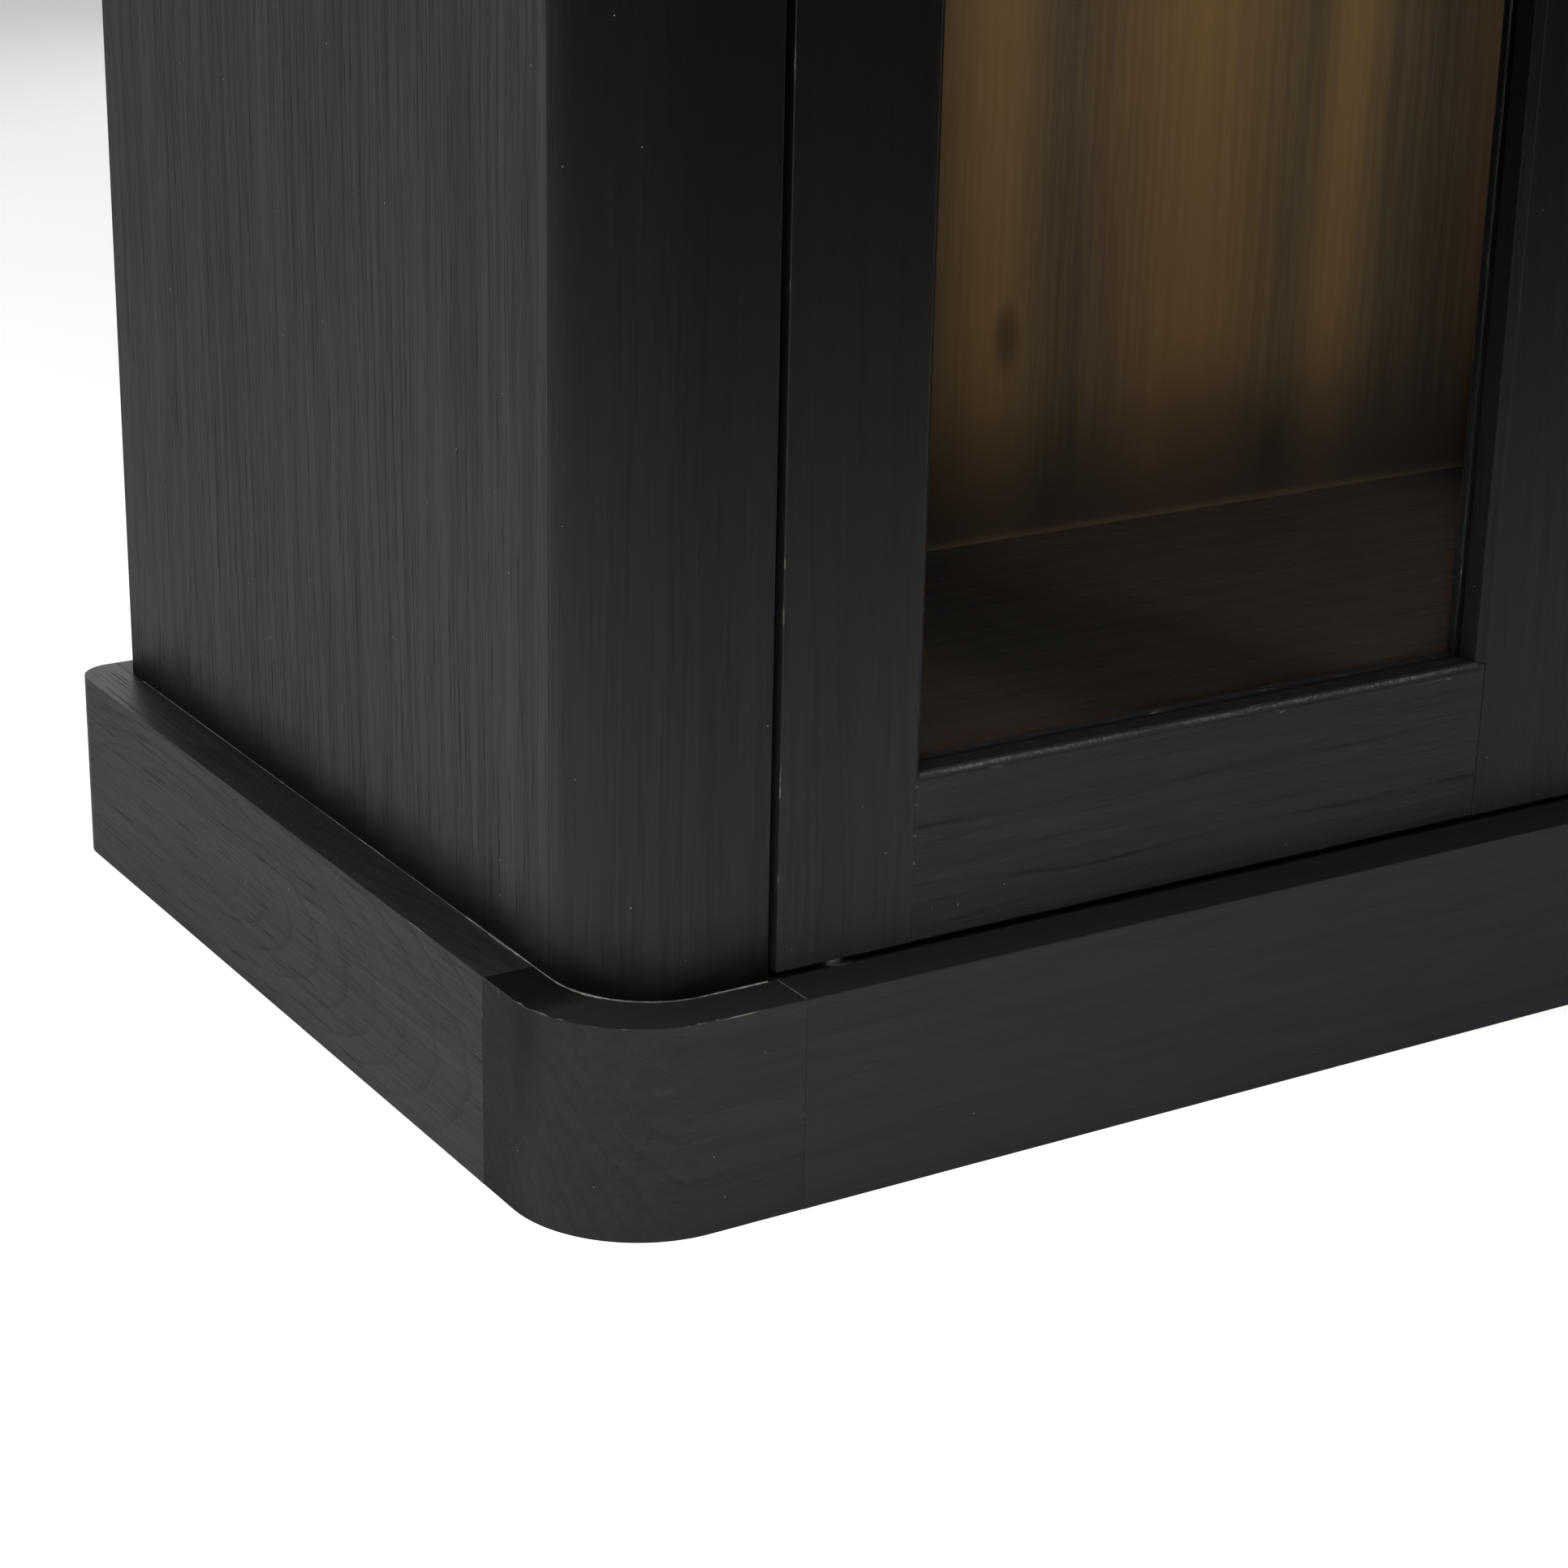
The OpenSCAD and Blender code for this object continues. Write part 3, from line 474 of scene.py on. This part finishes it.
add_boards("plinth_front_board crown_front_board plinth_back_board crown_back_board",
           CHARCOAL, "X", "Z", None, 0.18, 1.0, 0.3, painted_ledge_shade)
add_boards("plinth_side_board_left plinth_side_board_right crown_side_board_left crown_side_board_right",
           CHARCOAL, "Y", "Z", (0.12, 0.040, None, 0.26), 0.75, 1.0, 0.35, painted_ledge_shade)
add_boards("plinth_corner_block_left plinth_corner_block_right "
           "crown_corner_block_left crown_corner_block_right",
           CHARCOAL, "X", "Z", (0.0, -0.05, -0.07, 0.03), 0.3, 1.0, 0.5, block_paint)
add_boards("front_post_left front_post_right", CHARCOAL, "Z", "X", None, 0.25, 0.95, 0.25, post_paint)
add_boards("side_panel_left side_panel_right",
           CHARCOAL, "Z", "Y", (0.40, 0.150, None, 0.055), 0.7, 1.0, 0.25, painted_foot_shade)
add_boards("roof_panel", CHARCOAL, "X", "Y", None, 0.4, 1.0, 0.3, None)
add_boards("back_panel", WARM, "Z", "X", None, 0.7, 1.0, 0.2, back_paint)
add_boards("bottom_panel top_panel", FLOORING, "X", "Y", None, 0.75, 1.0, 0.0, floor_paint)
add_boards("base_rail_front base_rail_back crown_rail_front crown_rail_back",
           RAW, "X", "Z", None, 1.0, 1.0, 0.0, None)
add_boards("base_stretcher", RAW, "Y", "Z", None, 1.0, 1.0, 0.0, None)
for side in ("left", "right"):
    add_boards(f"hinge_stile_{side} meeting_stile_{side} upright_beads_{side}",
               CHARCOAL, "Z", "X", None, 0.25, 1.0, 0.5, painted_upper_shade)
    add_boards(f"top_rail_{side} level_beads_{side}", CHARCOAL, "X", "Z", None, 0.3, 0.6, 0.5, None)
    add_boards(f"bottom_rail_{side}", CHARCOAL, "X", "Z", None, 0.3, 1.0, 0.4, rail_paint)

ARRIS = 0.7 * MM
GLASS_ARRIS = 2.4 * MM
TIGHT_ARRIS = 0.3 * MM      # where two boards meet flush
FLUSH = ("plinth_", "crown_", "front_post", "side_panel")


def ease_edges(piece, width, segments=2, arris_slot=0):
    """Rounds the sharp edges of a CAD piece with modifiers and keeps its flat faces shaded flat."""
    weld = piece.modifiers.new("weld", "WELD")
    weld.merge_threshold = 1e-6
    planes = piece.modifiers.new("planes", "DECIMATE")
    planes.decimate_type = "DISSOLVE"
    planes.angle_limit = math.radians(0.5)
    arris = piece.modifiers.new("arris", "BEVEL")
    arris.width = width
    arris.segments = segments
    arris.limit_method = "ANGLE"
    arris.angle_limit = math.radians(35)
    arris.material = arris_slot
    shade = piece.modifiers.new("shade", "WEIGHTED_NORMAL")
    shade.keep_sharp = True


def pith_of(node, grain, width, given, draw):
    """The given pith, put on the board's outer face if it has no depth, or a random one off the board."""
    lo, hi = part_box(node)
    centre = (lo + hi) / 2
    through_axis = "XYZ".index(({"X", "Y", "Z"} - {grain, width}).pop())
    if given is None:
        aside = centre["XYZ".index(width)] + draw.uniform(-0.06, 0.06)
        return (0.0, aside, centre[through_axis] + draw.choice((-1, 1)) * draw.uniform(0.05, 0.11),
                draw.uniform(-0.03, 0.03))
    along, across, through, lean = given
    if through is None:
        through = lo[through_axis] if centre[through_axis] < 0 else hi[through_axis]
    return (along, across, through, lean)


def dress_boards():
    """Gives each wooden CAD node its own board's grain, and rubs its arrises."""
    for number, (node, facts) in enumerate(BOARDS.items()):
        look, grain, width, given, figure, tone, wear, paint = facts
        piece = NODES[node]
        seed = 100 + number
        pith = pith_of(node, grain, width, given, random.Random(seed + 500))
        piece.data.materials[0] = wood(node, look, grain, width, pith, seed, figure, tone, 0.0, paint)
        if wear:
            worn = wood(node + "_arris", look, grain, width, pith, seed, figure, tone, wear)
            piece.data.materials.append(worn)
        ease_edges(piece, TIGHT_ARRIS if node.startswith(FLUSH) else ARRIS, arris_slot=1 if wear else 0)


# ---------------------------------------------------------------- metal, plastic and glass of the CAD

def dress_fittings():
    """Gives the metal, plastic and glass CAD nodes the material of their slot."""
    looks = {
        "steel": metal("steel", rgb(186, 187, 190), 0.3, 0.1),
        "gunmetal": metal("gunmetal", rgb(58, 57, 56), 0.34, 0.05, 0.85),
        "brass": metal("brass", rgb(196, 160, 88), 0.28, 0.05),
        "magnet": metal("magnet", rgb(96, 96, 98), 0.42),
        "black_plastic": plastic("black_plastic", rgb(34, 34, 34)),
        "door_glass": glass("door_glass", (0.97, 0.985, 0.975, 1), (0.62, 0.80, 0.72, 1), "Y"),
        "shelf_glass": glass("shelf_glass", (0.93, 0.975, 0.955, 1), (0.45, 0.74, 0.62, 1), "Z"),
    }
    for node, piece in NODES.items():
        if SLOT_OF[node] in looks:
            piece.data.materials[0] = looks[SLOT_OF[node]]
    ground = glass_arris()
    for number in range(1, 5):
        shelf = NODES[f"glass_shelf_{number}"]
        shelf.data.materials.append(ground)
        ease_edges(shelf, GLASS_ARRIS, segments=3, arris_slot=1)


# ---------------------------------------------------------------- glue at the foot and chips on the plinth

BODY_R = 38 * MM        # corner radius of the body
EDGE_R = 50 * MM        # corner radius of the plinth
LEDGE_END_Y = 0.2       # where the glue line starts, near the back
SIDE_STEPS = 230
CORNER_STEPS = 70
FRONT_STEPS = 30
SPARSE_STEPS = 190      # along the side, where hardly any glue shows
SEAM_STEPS = 20
CHIP_STEPS = 14
# Chips on the plinth's top edge: the turns of the corner that each lies between, and its width in mm
CHIPS = [(183, 188, 0.5), (192, 203, 0.9), (206, 210, 0.5), (263, 268, 0.9), (271, 274, 0.4)]


def foot_path():
    """Places and outward directions along the foot of the body, from the back to the left door's gap."""
    middle = Vector((POST_LO.x + BODY_R, POST_LO.y + BODY_R))
    path = []
    for i in range(SIDE_STEPS):
        y = LEDGE_END_Y + (middle.y - LEDGE_END_Y) * i / SIDE_STEPS
        path.append((Vector((POST_LO.x, y)), Vector((-1, 0))))
    for i in range(CORNER_STEPS):
        turn = math.pi + i / CORNER_STEPS * math.pi / 2
        out = Vector((math.cos(turn), math.sin(turn)))
        path.append((middle + out * BODY_R, out))
    for i in range(FRONT_STEPS + 1):
        x = middle.x + (POST_HI.x - middle.x) * i / FRONT_STEPS
        path.append((Vector((x, POST_LO.y)), Vector((0, -1))))
    return path


def wander(draw, count, every):
    """Smooth random numbers in 0..1, one for each step, with a new value every few steps."""
    knots = [draw.random() for _ in range(count // every + 3)]
    out = []
    for i in range(count):
        k, f = divmod(i / every, 1)
        f = f * f * (3 - 2 * f)
        out.append(knots[int(k)] * (1 - f) + knots[int(k) + 1] * f)
    return out


def bead_of(shape, path, widths, height):
    """A low closed bead on the ledge along a path, with the width it is given at each place."""
    rows = []
    for (place, out), w in zip(path, widths):
        row = []
        for reach, up in ((-0.5, 0.0), (-0.5, 1.0), (0.55, 0.75), (1.0, 0.0)):
            spot = place + out * w * reach
            row.append(shape.verts.new((spot.x, spot.y, BAND_H + height * up * min(1.0, w / (0.5 * MM)))))
        rows.append(row)
    for a, b in zip(rows, rows[1:]):
        for k in range(4):
            shape.faces.new((a[k], a[(k + 1) % 4], b[(k + 1) % 4], b[k]))
    shape.faces.new(rows[0][::-1])
    shape.faces.new(rows[-1])


def edge_path(start, end, count):
    """Places along the plinth's rounded corner between two turns in degrees, and directions inwards."""
    middle = Vector((PLINTH_LO.x + EDGE_R, PLINTH_LO.y + EDGE_R))
    path = []
    for i in range(count):
        turn = math.radians(start + (end - start) * i / (count - 1))
        out = Vector((math.cos(turn), math.sin(turn)))
        path.append((middle + out * (EDGE_R - 0.5 * MM), -out))
    return path


def glue_look():
    """Dry glue and bruised wood, grey with crumbs."""
    t = Tree("dry_glue")
    place = t.node("TexCoord").outputs["Object"]
    crumbs = t.noise(place, 700, 4.0, 0.7)
    stretch = t.noise(place, 45, 2.0)
    tone = t.math("MULTIPLY_ADD", stretch, 0.8, t.math("MULTIPLY", crumbs, 0.9))
    colour = t.blend(t.steps(tone, 0.70, 1.12), rgb(24, 24, 23), rgb(84, 82, 77))
    bump = t.node("Bump", None, Strength=0.5, Distance=0.2 * MM, Height=crumbs)
    roughness = t.math("MULTIPLY_ADD", crumbs, 0.3, 0.45)
    shader = t.node("BsdfPrincipled", None, Base_Color=colour, Roughness=roughness, Normal=bump.outputs[0])
    return t.finish(shader.outputs[0])


def seam_path():
    """Places along the seam between the corner block and the front board, from the body forwards."""
    seam_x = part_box("plinth_corner_block_left")[1].x
    path = []
    for i in range(SEAM_STEPS):
        y = FRONT_Y - (FRONT_Y - PLINTH_LO.y) * i / SEAM_STEPS
        path.append((Vector((seam_x, y)), Vector((1, 0))))
    return path


def add_chip(shape, draw, start, end, width):
    """One chip of the plinth's edge, widest in its middle."""
    widths = []
    for i, rough in enumerate(wander(draw, CHIP_STEPS, 2)):
        taper = math.sin(math.pi * (i + 0.5) / CHIP_STEPS)
        widths.append(taper * (0.3 + 1.1 * rough) * width * MM)
    bead_of(shape, edge_path(start, end, CHIP_STEPS), widths, 0.15 * MM)


def make_glue():
    """The glue line and the chips; the right side mirrors the left side, with random widths of its own."""
    look = glue_look()
    for side, flip in (("left", 1), ("right", -1)):
        draw = random.Random(31 if side == "left" else 57)
        shape = bmesh.new()
        path = foot_path()
        coarse = wander(draw, len(path), 14)
        fine = wander(draw, len(path), 2)
        widths = []
        for i, (a, b) in enumerate(zip(coarse, fine)):
            least, full = (0.05, 0.2) if i < SPARSE_STEPS else (0.12, 0.8)
            widths.append((least + full * (0.25 + 0.5 * a) * (0.4 + 0.9 * b)) * MM)
        bead_of(shape, path, widths, 0.45 * MM)
        seam_widths = [(0.12 + 0.22 * v) * MM for v in wander(draw, SEAM_STEPS, 2)]
        bead_of(shape, seam_path(), seam_widths, 0.12 * MM)
        for start, end, width in CHIPS:
            add_chip(shape, draw, start, end, width)
        bmesh.ops.scale(shape, vec=(flip, 1, 1), verts=shape.verts)
        bmesh.ops.recalc_face_normals(shape, faces=shape.faces)
        mesh = bpy.data.meshes.new(f"glue_line_{side}")
        shape.to_mesh(mesh)
        shape.free()
        mesh.materials.append(look)
        glue = bpy.data.objects.new(f"glue_line_{side}", mesh)
        bpy.context.scene.collection.objects.link(glue)
        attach(glue, "cabinet")


# ---------------------------------------------------------------- stage

def make_floor():
    mesh = bpy.data.meshes.new("floor")
    shape = bmesh.new()
    bmesh.ops.create_grid(shape, x_segments=1, y_segments=1, size=30)
    shape.to_mesh(mesh)
    floor = bpy.data.objects.new("floor", mesh)
    bpy.context.scene.collection.objects.link(floor)
    mesh.materials.append(plain_floor())


def soft_light(name, place, target, size, power, spread=180, colour=(1, 1, 1)):
    """A rectangular lamp that faces target, with its power in watts and its spread in degrees."""
    data = bpy.data.lights.new(name, "AREA")
    data.energy = power
    data.color = colour
    data.shape = "RECTANGLE"
    data.size, data.size_y = size
    data.spread = math.radians(spread)
    lamp = bpy.data.objects.new(name, data)
    lamp.location = place
    lamp.visible_camera = False
    lamp.rotation_mode = "QUATERNION"
    lamp.rotation_quaternion = (Vector(target) - Vector(place)).to_track_quat("-Z", "Y")
    bpy.context.scene.collection.objects.link(lamp)


# Soft bright parts of the studio's walls: direction of the middle, brightness there
GLOWS = [((0, 1, 0.1), 3.4), ((-0.7, -0.7, 0.1), 0.8), ((1, -0.2, 0.3), 0.3)]

AMBIENT = 0.05
# Brightness of the backdrop above the floor, which is about that of the distant floor
BACKDROP = 0.58


def make_world():
    """A dim studio with soft glows, seen by the camera as an even backdrop."""
    world = bpy.data.worlds.new("world")
    bpy.context.scene.world = world
    world.use_nodes = True
    t = Tree("world", world.node_tree)
    ahead = t.node("TexCoord").outputs["Generated"]
    total = AMBIENT
    for middle, strength in GLOWS:
        near = t.nodes.new("ShaderNodeVectorMath")
        near.operation = "DOT_PRODUCT"
        t.put(near.inputs[0], ahead)
        t.put(near.inputs[1], Vector(middle).normalized())
        glow = t.math("POWER", t.math("MAXIMUM", near.outputs["Value"], 0.0), 3.0)
        total = t.math("MULTIPLY_ADD", glow, strength, total)
    seen = t.node("LightPath").outputs["Is Camera Ray"]
    shown = t.math("MULTIPLY_ADD", seen, t.math("SUBTRACT", BACKDROP, total), total)
    t.put(t.nodes["Background"].inputs["Strength"], shown)
    t.put(t.nodes["Background"].inputs["Color"], (1, 1, 1, 1))


def make_lights():
    """A warm key in front, lamps low over the plinth, and lamps for the upper part, right and back."""
    soft_light("key", (0.72, -3.2, 3.3), (0, 0, 0.5), (0.5, 0.5), 60, colour=(1.0, 0.95, 0.88))
    soft_light("over_left", (-1.2, 0.0, 1.0), (-1.1, 0.0, 0.0), (0.5, 1.2), 14)
    soft_light("over_corner", (-1.0, -0.80, 1.1), (-1.0, -0.75, 0.0), (0.8, 0.8), 14.5, 90)
    soft_light("over_front", (0.15, -0.55, 0.8), (0.15, -0.50, 0.0), (1.3, 0.2), 3, 60)
    soft_light("over_back", (-1.1, 0.9, 1.5), (-1.1, 0.9, 0.0), (0.8, 0.8), 5, 120)
    soft_light("upper_left", (-1.5, 0.0, 0.62), (-1.5, 0.0, 2.0), (0.6, 1.2), 20)
    soft_light("upper_front", (0.1, -1.7, 0.6), (0.1, -1.5, 2.0), (1.6, 0.6), 34, colour=(1.0, 0.97, 0.92))
    soft_light("far_right", (1.9, 0.8, 1.4), (0.0, 0.8, 1.1), (1.2, 1.2), 16)
    soft_light("behind", (0.2, 2.4, 1.5), (0.0, 0.2, 1.0), (1.4, 1.0), 16)
    make_world()
    bpy.context.scene.view_settings.view_transform = "Standard"


make_camera()
dress_boards()
dress_fittings()
make_glue()
make_floor()
make_lights()
